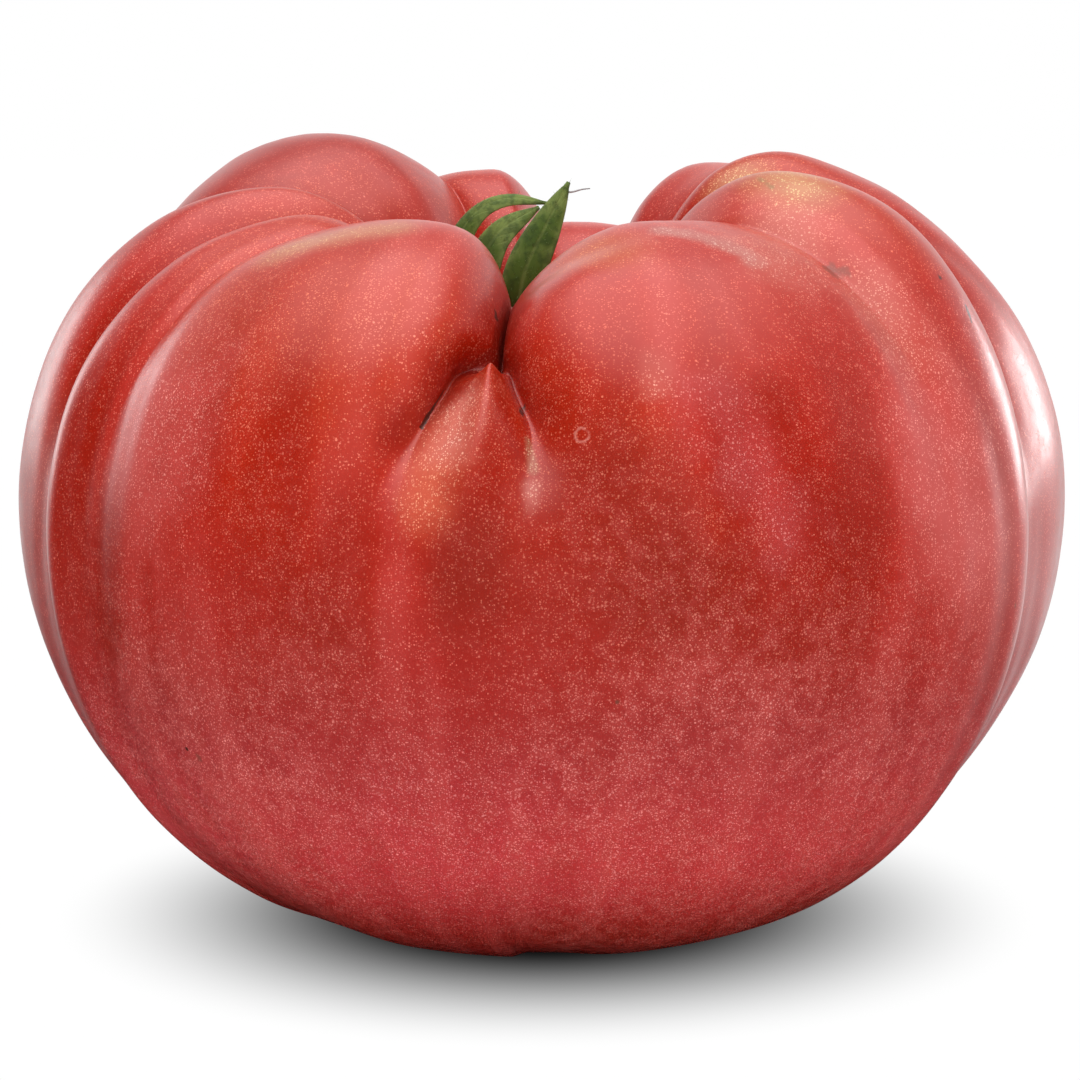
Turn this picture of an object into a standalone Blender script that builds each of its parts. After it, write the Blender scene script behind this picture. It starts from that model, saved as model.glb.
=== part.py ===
"""A beefsteak tomato with its green calyx, modelled in metres with +Z up.

The origin is on the surface that the fruit rests on, under the middle of the fruit.
Turns are in degrees seen from above, from the front (-Y) towards the right (+X).
"""

import math
from collections import namedtuple

import bmesh
import bpy
import numpy as np

MM = 0.001

# Driving sizes of the fruit
FRUIT_WIDTH = 120.0 * MM
FRUIT_DEPTH = 110.0 * MM
CREST_HEIGHT = 86.0

# Outline of a full lobe in mm, as radius and height: out of the stem cavity, over the crest,
# down the side and in to the blossom end
LOBE_OUTLINE = (
    (0.0, 64.0),
    (7.0, 63.8),
    (11.0, 67.0),
    (14.0, 75.0),
    (20.5, 82.8),
    (30.5, 86.0),
    (44.0, 81.5),
    (55.0, 69.0),
    (60.0, 52.0),
    (58.0, 34.0),
    (49.0, 17.0),
    (35.5, 5.6),
    (20.0, 0.2),
    (11.0, -0.4),
    (0.0, 1.2),
)

# One lobe and the furrow where it starts. top and side are that furrow's turn at the crest and
# at the widest level, depth is how deep it cuts at the crest, in mm, hold and end are how far
# along the outline it starts to fade and is gone, under is how deep it is again beneath the
# fruit, in mm, and tuck is how many degrees its bottom runs in under the lobe before. crest is
# the lobe's height, in mm, reach scales its radius, shoulder swells its outer shoulder, in mm,
# and tip is how far along the outline the lobe comes out from between its neighbours. bend and
# bent are where along the outline the furrow leaves its turn at the crest and reaches that at
# the widest level. first and last are how full the lobe is beside its two furrows, from
# where along the outline fills gives.
Lobe = namedtuple(
    "Lobe",
    "name top side depth hold end under tuck crest reach shoulder"
    " tip bend bent first last fills",
    defaults=(0.0, 0.22, 0.42, 2.0, 2.0, 0.0),
)
LOBES = (
    Lobe("front_right", -5.6, -2.2, 9.0, 0.34, 0.52, 1.2, -1.5, 83.5, 1.01, 0.3, 0.0,
         0.32, 0.43, 4.5, 2.0, 0.25),
    Lobe("right", 46.0, 49.0, 3.5, 0.24, 0.55, 0.0, 0.0, 88.0, 1.01, 0.0),
    Lobe("right_back", 84.0, 76.0, 7.0, 0.24, 0.95, 1.0, 3.0, 89.8, 1.03, -2.9),
    Lobe("back_right", 118.0, 113.0, 1.0, 0.24, 0.60, 0.0, 0.0, 86.5, 1.00, -1.0),
    Lobe("back_low", 157.0, 155.0, 6.0, 0.24, 0.62, 1.0, 0.0, 78.3, 0.98, 0.0),
    Lobe("back", 178.0, 180.0, 4.0, 0.24, 0.55, 0.0, 0.0, 84.5, 0.99, 0.0),
    Lobe("left_back", 203.0, 203.0, 4.0, 0.24, 0.60, 1.0, 0.0, 88.2, 1.00, 2.2),
    Lobe("left", 262.0, 256.0, 5.0, 0.24, 0.70, 0.8, -2.0, 84.8, 1.01, 0.7),
    Lobe("left_narrow", 286.0, 285.0, 5.5, 0.24, 0.85, 0.8, 0.0, 83.0, 1.00, 0.0),
    Lobe("front_left", 306.0, 303.0, 2.4, 0.30, 0.90, 0.6, -1.0, 83.5, 1.00, 0.3, 0.0,
         0.22, 0.42, 2.0, 4.0),
    Lobe("front_wedge", 353.6, 345.5, 9.0, 0.33, 0.54, 0.0, 5.5, 83.5, 1.00, 0.0, 0.345,
         0.335, 0.44, 2.0, 1.8),
)

# Outline of the disc and the short stalk in mm, as radius and height
STALK_OUTLINE = (
    (4.2, 64.5),
    (4.7, 65.6),
    (3.9, 67.0),
    (2.7, 68.2),
    (2.4, 71.5),
    (2.9, 73.0),
    (2.5, 73.7),
)
CALYX_CENTRE = (-2.0, 0.0)
SEPAL_THICKNESS = 0.9
SEPAL_FOLD = 0.12

# One sepal of the calyx: its greatest width in mm, the way its face looks, and points along its
# middle in mm
Sepal = namedtuple("Sepal", "name width face path")
SEPALS = (
    Sepal("front", 5.6, (-0.1, -1.0, 0.15), (
        (-2.0, -1.0, 66.0), (-2.8, -5.5, 68.5), (-2.8, -7.0, 72.5),
        (-2.0, -6.8, 76.5), (0.3, -5.6, 81.3), (2.7, -4.0, 85.8))),
    Sepal("front_left", 5.0, (-0.4, -0.8, 0.4), (
        (-2.6, -0.6, 66.0), (-6.4, -3.2, 68.6), (-7.6, -3.6, 73.0),
        (-6.8, -3.2, 77.0), (-4.8, -2.6, 80.2), (-0.6, -1.8, 82.8))),
    Sepal("left", 3.7, (-0.35, -0.6, 0.7), (
        (-3.0, 0.0, 66.0), (-7.4, 0.5, 68.4), (-10.2, 0.9, 73.5), (-9.8, 1.1, 78.4),
        (-7.4, 1.2, 82.0), (-4.0, 1.1, 83.4), (0.4, 0.6, 83.0))),
    Sepal("right_front", 4.6, (0.6, -0.4, 0.7), (
        (-1.0, -0.6, 66.0), (3.2, -3.4, 67.8), (6.6, -6.0, 70.4), (8.6, -7.6, 73.4))),
    Sepal("right", 4.2, (-0.8, -0.1, 0.7), (
        (-1.2, 0.3, 66.0), (3.2, 1.2, 68.0), (6.8, 1.9, 70.6), (9.2, 2.4, 73.8))),
    Sepal("back_right", 4.4, (-0.2, -0.7, 0.8), (
        (-1.6, 0.8, 66.0), (0.8, 4.4, 68.0), (2.2, 7.2, 71.0), (3.0, 9.0, 74.6))),
    Sepal("back_left", 4.2, (0.3, -0.7, 0.8), (
        (-2.4, 0.8, 66.0), (-4.2, 4.6, 68.0), (-5.4, 7.4, 71.4), (-6.2, 9.0, 75.4))),
)

COLUMN_TURN = 4.5
FEWEST_COLUMNS = 6
ROWS = 42


def smooth_step(low, high, value):
    """0 below low, 1 above high, and a smooth rise between them."""
    x = np.clip((value - low) / (high - low), 0.0, 1.0)
    return x * x * (3.0 - 2.0 * x)


def smooth_curve(knots, before, after, count):
    """count + 1 points evenly spaced along the smooth curve through the knots."""
    knots = np.array(knots, float)
    padded = np.vstack([before, knots, after])
    fine = []
    for i in range(len(knots) - 1):
        a, b, c, d = padded[i : i + 4]
        for x in np.linspace(0.0, 1.0, 24, endpoint=False):
            fine.append(
                b
                + 0.5 * (c - a) * x
                + 0.5 * (2.0 * a - 5.0 * b + 4.0 * c - d) * x**2
                + 0.5 * (3.0 * b - 3.0 * c + d - a) * x**3
            )
    fine.append(knots[-1])
    fine = np.array(fine)
    along = np.concatenate([[0.0], np.cumsum(np.linalg.norm(np.diff(fine, axis=0), axis=1))])
    wanted = np.linspace(0.0, along[-1], count + 1)
    return np.column_stack([np.interp(wanted, along, fine[:, k]) for k in range(knots.shape[1])])


def outline_points(count):
    """count + 1 points down the outline of a full lobe, which is level at both ends, in mm."""
    mirror = np.array((-1.0, 1.0))
    return smooth_curve(LOBE_OUTLINE, LOBE_OUTLINE[1] * mirror, LOBE_OUTLINE[-2] * mirror, count)


def crease(distance, softness, sharpness, fullness):
    """1 in the furrow, falling to 0 on the lobe's crown, where distance is 1."""
    eased = np.sqrt(distance**2 + softness**2) - softness
    eased = np.clip(eased / (np.sqrt(1.0 + softness**2) - softness), 0.0, 1.0)
    return (1.0 - eased**sharpness) ** fullness


def fruit_points(column_turn, rows):
    """The fruit's grid of points in metres: a column runs down each furrow and down each lobe."""
    profile = outline_points(rows)
    along = np.linspace(0.0, 1.0, rows + 1)
    tangent = np.gradient(profile, axis=0)
    tangent /= np.linalg.norm(tangent, axis=1)[:, None]
    outward = np.column_stack([-tangent[:, 1], tangent[:, 0]])
    outward[0] = (0.0, 1.0)
    outward[-1] = (0.0, -1.0)
    opening = smooth_step(0.02, 0.12, along)
    upper = opening * (1.0 - smooth_step(0.25, 0.50, along))
    swell = smooth_step(0.16, 0.28, along) * (1.0 - smooth_step(0.30, 0.48, along))
    softness = 0.01 + 0.35 * smooth_step(0.38, 0.60, along) + 1.0 * smooth_step(0.60, 0.75, along)
    sharpness = 0.85 + 0.35 * smooth_step(0.33, 0.50, along) + 0.5 * smooth_step(0.60, 0.75, along)
    tucked = smooth_step(0.27, 0.35, along)
    beneath = smooth_step(0.62, 0.80, along) * (1.0 - smooth_step(0.86, 0.98, along))

    def furrow(lobe):
        swing = smooth_step(lobe.bend, lobe.bent, along)
        turn = lobe.top + (lobe.side - lobe.top) * swing
        cut = opening * (1.0 - smooth_step(lobe.hold, lobe.end, along))
        return turn, lobe.depth * cut + lobe.under * beneath, lobe.tuck * cut * tucked

    columns = []
    for i, lobe in enumerate(LOBES):
        before = LOBES[i - 1]
        after = LOBES[(i + 1) % len(LOBES)]
        start, depth_start, tuck_start = furrow(lobe)
        stop, depth_stop, tuck_stop = furrow(after)
        if after.side < lobe.side:
            stop = stop + 360.0
        recess = 0.0
        if lobe.tip:
            quick_rise = smooth_step(lobe.tip - 0.02, lobe.tip + 0.05, along)
            slow_rise = smooth_step(lobe.tip, lobe.tip + 0.16, along)
            recess = opening * lobe.depth * (1.0 - 0.75 * quick_rise - 0.25 * slow_rise)
        filled = smooth_step(lobe.fills, lobe.fills + 0.08, along)
        full_start = 2.0 + (lobe.first - 2.0) * filled
        full_stop = 2.0 + (lobe.last - 2.0) * filled
        width = (after.side - lobe.side) % 360.0
        count = max(FEWEST_COLUMNS, round(width / column_turn))
        for k in range(count):
            s = k / count
            s = s - 0.5 * math.sin(2.0 * math.pi * s) / (2.0 * math.pi)
            near = before if s < 0.5 else after
            share = float(smooth_step(0.0, 1.0, 0.5 + s if s < 0.5 else 1.5 - s))
            crest = share * lobe.crest + (1.0 - share) * near.crest
            reach = share * lobe.reach + (1.0 - share) * near.reach
            shoulder = share * lobe.shoulder + (1.0 - share) * near.shoulder
            at_start = crease(min(s / 0.6, 1.0), softness, sharpness, full_start)
            at_stop = crease(min((1.0 - s) / 0.6, 1.0), softness, sharpness, full_stop)
            depth = recess + (depth_start - recess) * at_start + (depth_stop - recess) * at_stop
            depth = depth - shoulder * swell
            turn = start + (stop - start) * s - tuck_start * at_start**2 - tuck_stop * at_stop**2
            angle = np.radians(turn)
            radius = profile[:, 0] * reach - outward[:, 0] * depth
            height = profile[:, 1] + (crest - CREST_HEIGHT) * upper - outward[:, 1] * depth
            columns.append(np.column_stack([radius * np.sin(angle), -radius * np.cos(angle), height]))
    points = np.stack(columns, axis=1) * MM
    points[:, :, 2] = np.maximum(points[:, :, 2], 0.0)
    low = points.min(axis=(0, 1))
    high = points.max(axis=(0, 1))
    points[:, :, 0] = (points[:, :, 0] - (low[0] + high[0]) / 2) * FRUIT_WIDTH / (high[0] - low[0])
    points[:, :, 1] = (points[:, :, 1] - (low[1] + high[1]) / 2) * FRUIT_DEPTH / (high[1] - low[1])
    return points


def add_object(name, mesh_from, colour, roughness):
    """Links a new object whose mesh is a bmesh, with a material of its own."""
    mesh = bpy.data.meshes.new(name)
    mesh_from.to_mesh(mesh)
    mesh_from.free()
    material = bpy.data.materials.new(name)
    material.use_nodes = True
    shader = material.node_tree.nodes["Principled BSDF"]
    shader.inputs["Base Color"].default_value = (*colour, 1.0)
    shader.inputs["Roughness"].default_value = roughness
    shader.inputs["Metallic"].default_value = 0.0
    mesh.materials.append(material)
    built = bpy.data.objects.new(name, mesh)
    bpy.context.scene.collection.objects.link(built)
    return built


def make_fruit():
    """The fruit as one closed grid, with a single point at each pole."""
    points = fruit_points(COLUMN_TURN, ROWS)
    rows, columns = points.shape[0] - 1, points.shape[1]
    shape = bmesh.new()
    top = shape.verts.new(points[0].mean(axis=0))
    bottom = shape.verts.new(points[-1].mean(axis=0))
    rings = [[shape.verts.new(points[r, c]) for c in range(columns)] for r in range(1, rows)]
    for c in range(columns):
        d = (c + 1) % columns
        shape.faces.new((top, rings[0][c], rings[0][d]))
        shape.faces.new((bottom, rings[-1][d], rings[-1][c]))
        for upper, lower in zip(rings, rings[1:]):
            shape.faces.new((upper[c], lower[c], lower[d], upper[d]))
    bmesh.ops.recalc_face_normals(shape, faces=shape.faces)
    fruit = add_object("fruit", shape, (0.60, 0.05, 0.03), 0.35)
    fruit.data.shade_smooth()
    return fruit


def ring_shell(rings):
    """A closed shape through the rings, with a flat cap on the first and the last."""
    shape = bmesh.new()
    rows = [[shape.verts.new(np.array(point) * MM) for point in ring] for ring in rings]
    count = len(rows[0])
    for first, second in zip(rows, rows[1:]):
        for k in range(count):
            j = (k + 1) % count
            shape.faces.new((first[k], first[j], second[j], second[k]))
    shape.faces.new(rows[0])
    shape.faces.new(rows[-1])
    bmesh.ops.recalc_face_normals(shape, faces=shape.faces)
    return shape


def sepal_rings(sepal, stations):
    """Cross sections of a sepal in mm: widest before the middle, folded a little along its length."""
    path = np.array(sepal.path)
    first = 2.0 * path[0] - path[1]
    last = 2.0 * path[-1] - path[-2]
    middle = smooth_curve(path, first, last, stations)
    tangent = np.gradient(middle, axis=0)
    side = np.cross(sepal.face, tangent)
    side /= np.linalg.norm(side, axis=1)[:, None]
    face = np.cross(tangent, side)
    face /= np.linalg.norm(face, axis=1)[:, None]
    rings = []
    for i in range(stations + 1):
        x = i / stations
        half = 0.5 * sepal.width * max(math.sin(math.pi * (0.14 + 0.86 * x)) ** 0.85, 0.16)
        ring = []
        for turn in np.arange(0.0, 2.0 * math.pi, math.pi / 4.0):
            across = math.cos(turn)
            lift = 0.5 * SEPAL_THICKNESS * math.sin(turn) - SEPAL_FOLD * half * across**2
            ring.append(middle[i] + side[i] * half * across + face[i] * lift)
        rings.append(ring)
    return rings


def stalk_rings(sides):
    x, y = CALYX_CENTRE
    turns = np.arange(sides) * 2.0 * math.pi / sides
    return [[(x + r * math.cos(t), y + r * math.sin(t), z) for t in turns] for r, z in STALK_OUTLINE]


def make_calyx():
    """The disc with its short stalk, and the sepals that grow out of it, as one solid."""
    green = (0.07, 0.16, 0.03)
    calyx = add_object("calyx", ring_shell(stalk_rings(24)), green, 0.6)
    group = bpy.data.collections.new("sepals")
    for sepal in SEPALS:
        leaf = add_object(sepal.name, ring_shell(sepal_rings(sepal, 14)), green, 0.6)
        group.objects.link(leaf)
    union = calyx.modifiers.new("union", "BOOLEAN")
    union.operation = "UNION"
    union.operand_type = "COLLECTION"
    union.collection = group
    found = calyx.evaluated_get(bpy.context.evaluated_depsgraph_get())
    solid = bpy.data.meshes.new_from_object(found)
    calyx.modifiers.clear()
    calyx.data = solid
    for leaf in list(group.objects):
        bpy.data.objects.remove(leaf)
    bpy.data.collections.remove(group)


def clear_scene():
    for found in list(bpy.data.objects):
        bpy.data.objects.remove(found)


clear_scene()
make_fruit()
make_calyx()
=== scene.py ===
# %% [markdown]
# # A beefsteak tomato
#
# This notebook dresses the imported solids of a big, ribbed tomato: a lobed red fruit with
# fine pale speckles, and a small hairy calyx sunk between its shoulders.
#
# Everything is in metres, with +Z up and the side that faces the viewer at -Y. Sizes that
# are easier to read in millimetres are written in millimetres and multiplied by MM.

# %% Load the frame
import math
from collections import namedtuple

import bpy
import numpy as np
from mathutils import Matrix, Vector


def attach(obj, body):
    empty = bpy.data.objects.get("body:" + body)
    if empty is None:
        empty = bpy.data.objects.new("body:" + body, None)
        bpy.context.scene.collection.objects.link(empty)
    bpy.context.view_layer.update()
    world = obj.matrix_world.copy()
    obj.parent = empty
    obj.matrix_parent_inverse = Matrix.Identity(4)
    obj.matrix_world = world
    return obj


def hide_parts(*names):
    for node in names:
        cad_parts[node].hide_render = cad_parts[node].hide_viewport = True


MM = 0.001
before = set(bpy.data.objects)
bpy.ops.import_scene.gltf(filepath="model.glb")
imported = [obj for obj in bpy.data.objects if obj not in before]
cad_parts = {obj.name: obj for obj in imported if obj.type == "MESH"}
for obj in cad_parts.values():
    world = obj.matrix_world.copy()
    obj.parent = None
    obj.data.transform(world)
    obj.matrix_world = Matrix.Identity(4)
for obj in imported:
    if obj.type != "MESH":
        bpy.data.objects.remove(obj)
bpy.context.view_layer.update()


def add_object(name, data):
    """A new object with this data, in the scene."""
    built = bpy.data.objects.new(name, data)
    bpy.context.scene.collection.objects.link(built)
    return built


def new_material(name):
    material = bpy.data.materials.new(name)
    material.use_nodes = True
    return material

# %% [markdown]
# ## The camera
#
# The picture was taken from about 10 degrees above the surface, close enough for the far
# shoulders to look a little smaller than the near ones. The lens is worked out from the
# distance, so that one millimetre at the middle of the fruit covers 8.75 pixels of 1080.

# %% Camera
CAMERA_DISTANCE = 500.0 * MM
CAMERA_RISE = 10.0
CAMERA_TARGET = Vector((-0.5, 0.0, 44.5)) * MM
PIXELS_PER_MM = 8.75
FRAME_PIXELS = 1080

rise = math.radians(CAMERA_RISE)
towards_camera = Vector((0.0, -math.cos(rise), math.sin(rise)))
camera_data = bpy.data.cameras.new("camera")
camera_data.lens = camera_data.sensor_width * PIXELS_PER_MM * CAMERA_DISTANCE / MM / FRAME_PIXELS
camera = add_object("camera", camera_data)
camera.location = CAMERA_TARGET + towards_camera * CAMERA_DISTANCE
camera.rotation_euler = (-towards_camera).to_track_quat("-Z", "Y").to_euler()
bpy.context.scene.camera = camera
print("lens", round(camera_data.lens, 1), "mm")

# %% [markdown]
# ## Sums written as sums
#
# Geometry and shader nodes do arithmetic with Math nodes, and a long formula drawn that
# way is hard to read. Field wraps one socket and turns +, -, * and / into nodes, so the
# formula for the fruit can be written almost as on paper.

# %% Field: arithmetic on node sockets
class Field:
    """A number that a node tree works out at every point."""

    def __init__(self, tree, socket):
        self.tree = tree
        self.socket = socket

    def __add__(self, other):
        return calculate("ADD", self, other)

    __radd__ = __add__

    def __sub__(self, other):
        return calculate("SUBTRACT", self, other)

    def __rsub__(self, other):
        return calculate("SUBTRACT", other, self)

    def __mul__(self, other):
        return calculate("MULTIPLY", self, other)

    __rmul__ = __mul__

    def __truediv__(self, other):
        return calculate("DIVIDE", self, other)

    def __rtruediv__(self, other):
        return calculate("DIVIDE", other, self)

    def __pow__(self, other):
        return calculate("POWER", self, other)


def plug(tree, socket, value):
    """Links a Field or a socket into another socket, or sets a plain value on it."""
    if isinstance(value, Field):
        tree.links.new(value.socket, socket)
    elif isinstance(value, bpy.types.NodeSocket):
        tree.links.new(value, socket)
    else:
        socket.default_value = value


def calculate(operation, *values):
    tree = next(v.tree for v in values if isinstance(v, Field))
    node = tree.nodes.new("ShaderNodeMath")
    node.operation = operation
    for socket, value in zip(node.inputs, values):
        plug(tree, socket, value)
    return Field(tree, node.outputs[0])


def rising(low, high, value):
    """0 below low, 1 above high, and a smooth rise between them."""
    node = make_node(value.tree, "ShaderNodeMapRange", {"interpolation_type": "SMOOTHSTEP"},
                     Value=value, From_Min=low, From_Max=high)
    return Field(value.tree, node.outputs["Result"])


def clamped(value):
    return calculate("MAXIMUM", calculate("MINIMUM", value, 1.0), 0.0)


def between(first, second, share):
    """first where share is 0, second where it is 1."""
    return first + (second - first) * share


def make_node(tree, kind, settings=None, **inputs):
    """A new node. Underscores in an input's name stand for spaces."""
    node = tree.nodes.new(kind)
    for name, value in (settings or {}).items():
        setattr(node, name, value)
    for name, value in inputs.items():
        plug(tree, node.inputs[name.replace("_", " ")], value)
    return node


def noise(tree, **inputs):
    return Field(tree, make_node(tree, "ShaderNodeTexNoise", **inputs).outputs[0])


def vector_math(tree, operation, *values, output="Vector", **inputs):
    node = make_node(tree, "ShaderNodeVectorMath", {"operation": operation}, **inputs)
    for socket, value in zip(node.inputs, values):
        plug(tree, socket, value)
    return node.outputs[output]


def parts(tree, vector):
    """The X, Y and Z of a vector."""
    split = make_node(tree, "ShaderNodeSeparateXYZ", Vector=vector)
    return [Field(tree, socket) for socket in split.outputs]


def joined(tree, x, y, z):
    """The vector with these three parts."""
    return make_node(tree, "ShaderNodeCombineXYZ", X=x, Y=y, Z=z).outputs["Vector"]


def changed(tree, kind, geometry, **inputs):
    """What a geometry node makes of the geometry."""
    node = make_node(tree, "GeometryNode" + kind, Geometry=geometry, **inputs)
    return node.outputs["Geometry"]


def new_group(name, kind, inputs):
    """A Geometry or Shader node tree, its named inputs as Fields, and its output's socket."""
    tree = bpy.data.node_groups.new(name, kind + "NodeTree")
    result = {"Geometry": ("Geometry", "Geometry"), "Shader": ("Mask", "Float")}[kind]
    sockets = [("INPUT", *pair) for pair in inputs.items()] + [("OUTPUT", *result)]
    for way, label, value in sockets:
        tree.interface.new_socket(label, in_out=way, socket_type="NodeSocket" + value)
    given = tree.nodes.new("NodeGroupInput").outputs
    number = {socket.name: Field(tree, socket) for socket in given if socket.name}
    return tree, number, tree.nodes.new("NodeGroupOutput").inputs[0]


def settled_mesh(built):
    """The mesh that an object's curve or modifiers make. The object goes."""
    bpy.context.view_layer.update()
    found = built.evaluated_get(bpy.context.evaluated_depsgraph_get())
    mesh = bpy.data.meshes.new_from_object(found)
    bpy.data.objects.remove(built)
    return mesh


def grown(name, start, tree, values):
    """The mesh that a tree makes from start, as a plain object; start and its modifier go."""
    modifier = start.modifiers.new(name, "NODES")
    modifier.node_group = tree
    for item in tree.interface.items_tree:
        if item.item_type == "SOCKET" and item.in_out == "INPUT" and item.name in values:
            modifier[item.identifier] = values[item.name]
    mesh = settled_mesh(start)
    mesh.name = name
    print(name, len(mesh.polygons), "faces")
    return add_object(name, mesh)


# %% [markdown]
# ## The fruit's form
#
# A beefsteak tomato grows from many fused carpels, and each one swells into a lobe. So the
# fruit is one outline turned round its axis, pushed in along furrows of different depths.
# Some furrows stop at the shoulder, some run down to the base, and one narrow lobe is
# squeezed out of sight at the top and comes out half way down the front.
#
# The numbers are an outline and one line for each lobe. They are those of the solids, but
# for the wedge and its right neighbour, which are set a little finer here.

# %% Numbers of the lobes
FRUIT_WIDTH = 120.0 * MM
FRUIT_DEPTH = 110.0 * MM
CREST_HEIGHT = 86.0 * MM
DEEPEST_FURROW = 9.0 * MM

# Outline of a full lobe in mm, as radius and height: out of the stem cavity, over the
# crest, down the side and in to the blossom end
LOBE_OUTLINE = (
    (0.0, 64.0), (7.0, 63.8), (11.0, 67.0), (14.0, 75.0), (20.5, 82.8),
    (30.5, 86.0), (44.0, 81.5), (55.0, 69.0), (60.0, 52.0), (58.0, 34.0),
    (49.0, 17.0), (35.5, 5.6), (20.0, 0.2), (11.0, -0.4), (0.0, 1.2),
)

# The furrow where a lobe starts: its turn at the crest and at the widest level, in degrees,
# its depth in mm, how far along the outline it starts to fade and is gone, its depth
# beneath, and the degrees that it tucks in under the lobe before. Then the lobe's height
# in mm, the scale of its radius, the swelling of its shoulder in mm, and how far along the
# outline it comes out from between its neighbours. bend and bent are where the furrow
# leaves its turn at the crest and reaches the other one. first and last are how full the
# lobe is beside its two furrows, from where along the outline fills gives.
Lobe = namedtuple(
    "Lobe",
    "top side depth hold end under tuck crest reach shoulder tip bend bent first last fills",
    defaults=(0.0, 0.22, 0.42, 2.0, 2.0, 0.0),
)
LOBES = {
    "front_right": Lobe(-5.6, -1.5, 9.0, 0.34, 0.52, 0.7, -1.5, 83.5, 1.01, 0.3, 0.0,
                        0.34, 0.43, 4.5, 2.0, 0.25),
    "right": Lobe(46.0, 49.0, 3.5, 0.24, 0.55, 0.0, 0.0, 88.0, 1.01, 0.0),
    "right_back": Lobe(84.0, 76.0, 7.0, 0.24, 0.95, 1.0, 3.0, 89.8, 1.03, -2.9),
    "back_right": Lobe(118.0, 113.0, 1.0, 0.24, 0.60, 0.0, 0.0, 86.5, 1.00, -1.0),
    "back_low": Lobe(157.0, 155.0, 6.0, 0.24, 0.62, 1.0, 0.0, 78.3, 0.98, 0.0),
    "back": Lobe(178.0, 180.0, 4.0, 0.24, 0.55, 0.0, 0.0, 84.5, 0.99, 0.0),
    "left_back": Lobe(203.0, 203.0, 4.0, 0.24, 0.60, 1.0, 0.0, 88.2, 1.00, 2.2),
    "left": Lobe(262.0, 256.0, 5.0, 0.24, 0.70, 0.8, -2.0, 84.8, 1.01, 0.7),
    "left_narrow": Lobe(286.0, 285.0, 5.5, 0.24, 0.85, 0.8, 0.0, 83.0, 1.00, 0.0),
    "front_left": Lobe(306.0, 303.0, 2.4, 0.30, 0.90, 0.6, -1.0, 83.5, 1.00, 0.3, 0.0,
                       0.22, 0.42, 2.0, 4.0),
    "front_wedge": Lobe(353.6, 345.5, 9.0, 0.33, 0.54, 0.0, 5.5, 83.5, 1.00, 0.0, 0.322,
                        0.33, 0.49, 2.0, 1.8),
}
print(len(LOBES), "lobes")

# %% [markdown]
# The outline becomes a curve object, because a curve can be sampled by how far along it a
# point is. The lobes become a small mesh with one vertex per furrow, which carries the
# numbers as named attributes. It runs past a full turn, so every lobe has a furrow after it.

# %% Outline curve and furrow points
def smooth_curve(knots, before, after, count):
    """count + 1 points evenly spaced along the smooth curve through the knots."""
    knots = np.array(knots, float)
    padded = np.vstack([before, knots, after])
    fine = []
    for i in range(len(knots) - 1):
        a, b, c, d = padded[i : i + 4]
        for x in np.linspace(0.0, 1.0, 24, endpoint=False):
            fine.append(
                b
                + 0.5 * (c - a) * x
                + 0.5 * (2.0 * a - 5.0 * b + 4.0 * c - d) * x**2
                + 0.5 * (3.0 * b - 3.0 * c + d - a) * x**3
            )
    fine.append(knots[-1])
    fine = np.array(fine)
    along = np.concatenate([[0.0], np.cumsum(np.linalg.norm(np.diff(fine, axis=0), axis=1))])
    wanted = np.linspace(0.0, along[-1], count + 1)
    return np.column_stack([np.interp(wanted, along, fine[:, k]) for k in range(knots.shape[1])])


def drawn_curve(name, places):
    """A curve object that runs from place to place."""
    curve = bpy.data.curves.new(name, "CURVE")
    curve.dimensions = "3D"
    points = curve.splines.new("POLY").points
    points.add(len(places) - 1)
    for point, place in zip(points, places):
        point.co = (*place, 1.0)
    return add_object(name, curve)


def outline_curve(count=600):
    """The lobe's outline as a curve in the XZ plane. It is level where it meets the axis."""
    mirror = np.array((-1.0, 1.0))
    first, last = LOBE_OUTLINE[1] * mirror, LOBE_OUTLINE[-2] * mirror
    points = smooth_curve(LOBE_OUTLINE, first, last, count) * MM
    return drawn_curve("lobe_outline", [(radius, 0.0, height) for radius, height in points])


def furrow_points():
    """One vertex per furrow, from the one before the first lobe to two past the last."""
    rows = list(LOBES.values())
    wanted = range(-1, len(rows) + 2)
    mesh = bpy.data.meshes.new("furrows")
    mesh.vertices.add(len(wanted))
    for name in Lobe._fields:
        values = [getattr(rows[i % len(rows)], name) for i in wanted]
        if name in ("top", "side"):
            values = [v + 360.0 * (i // len(rows)) for v, i in zip(values, wanted)]
        mesh.attributes.new(name, "FLOAT", "POINT").data.foreach_set("value", values)
    return add_object("furrows", mesh)


outline = outline_curve()
furrows = furrow_points()
print(len(furrows.data.vertices), "furrow points")
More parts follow.
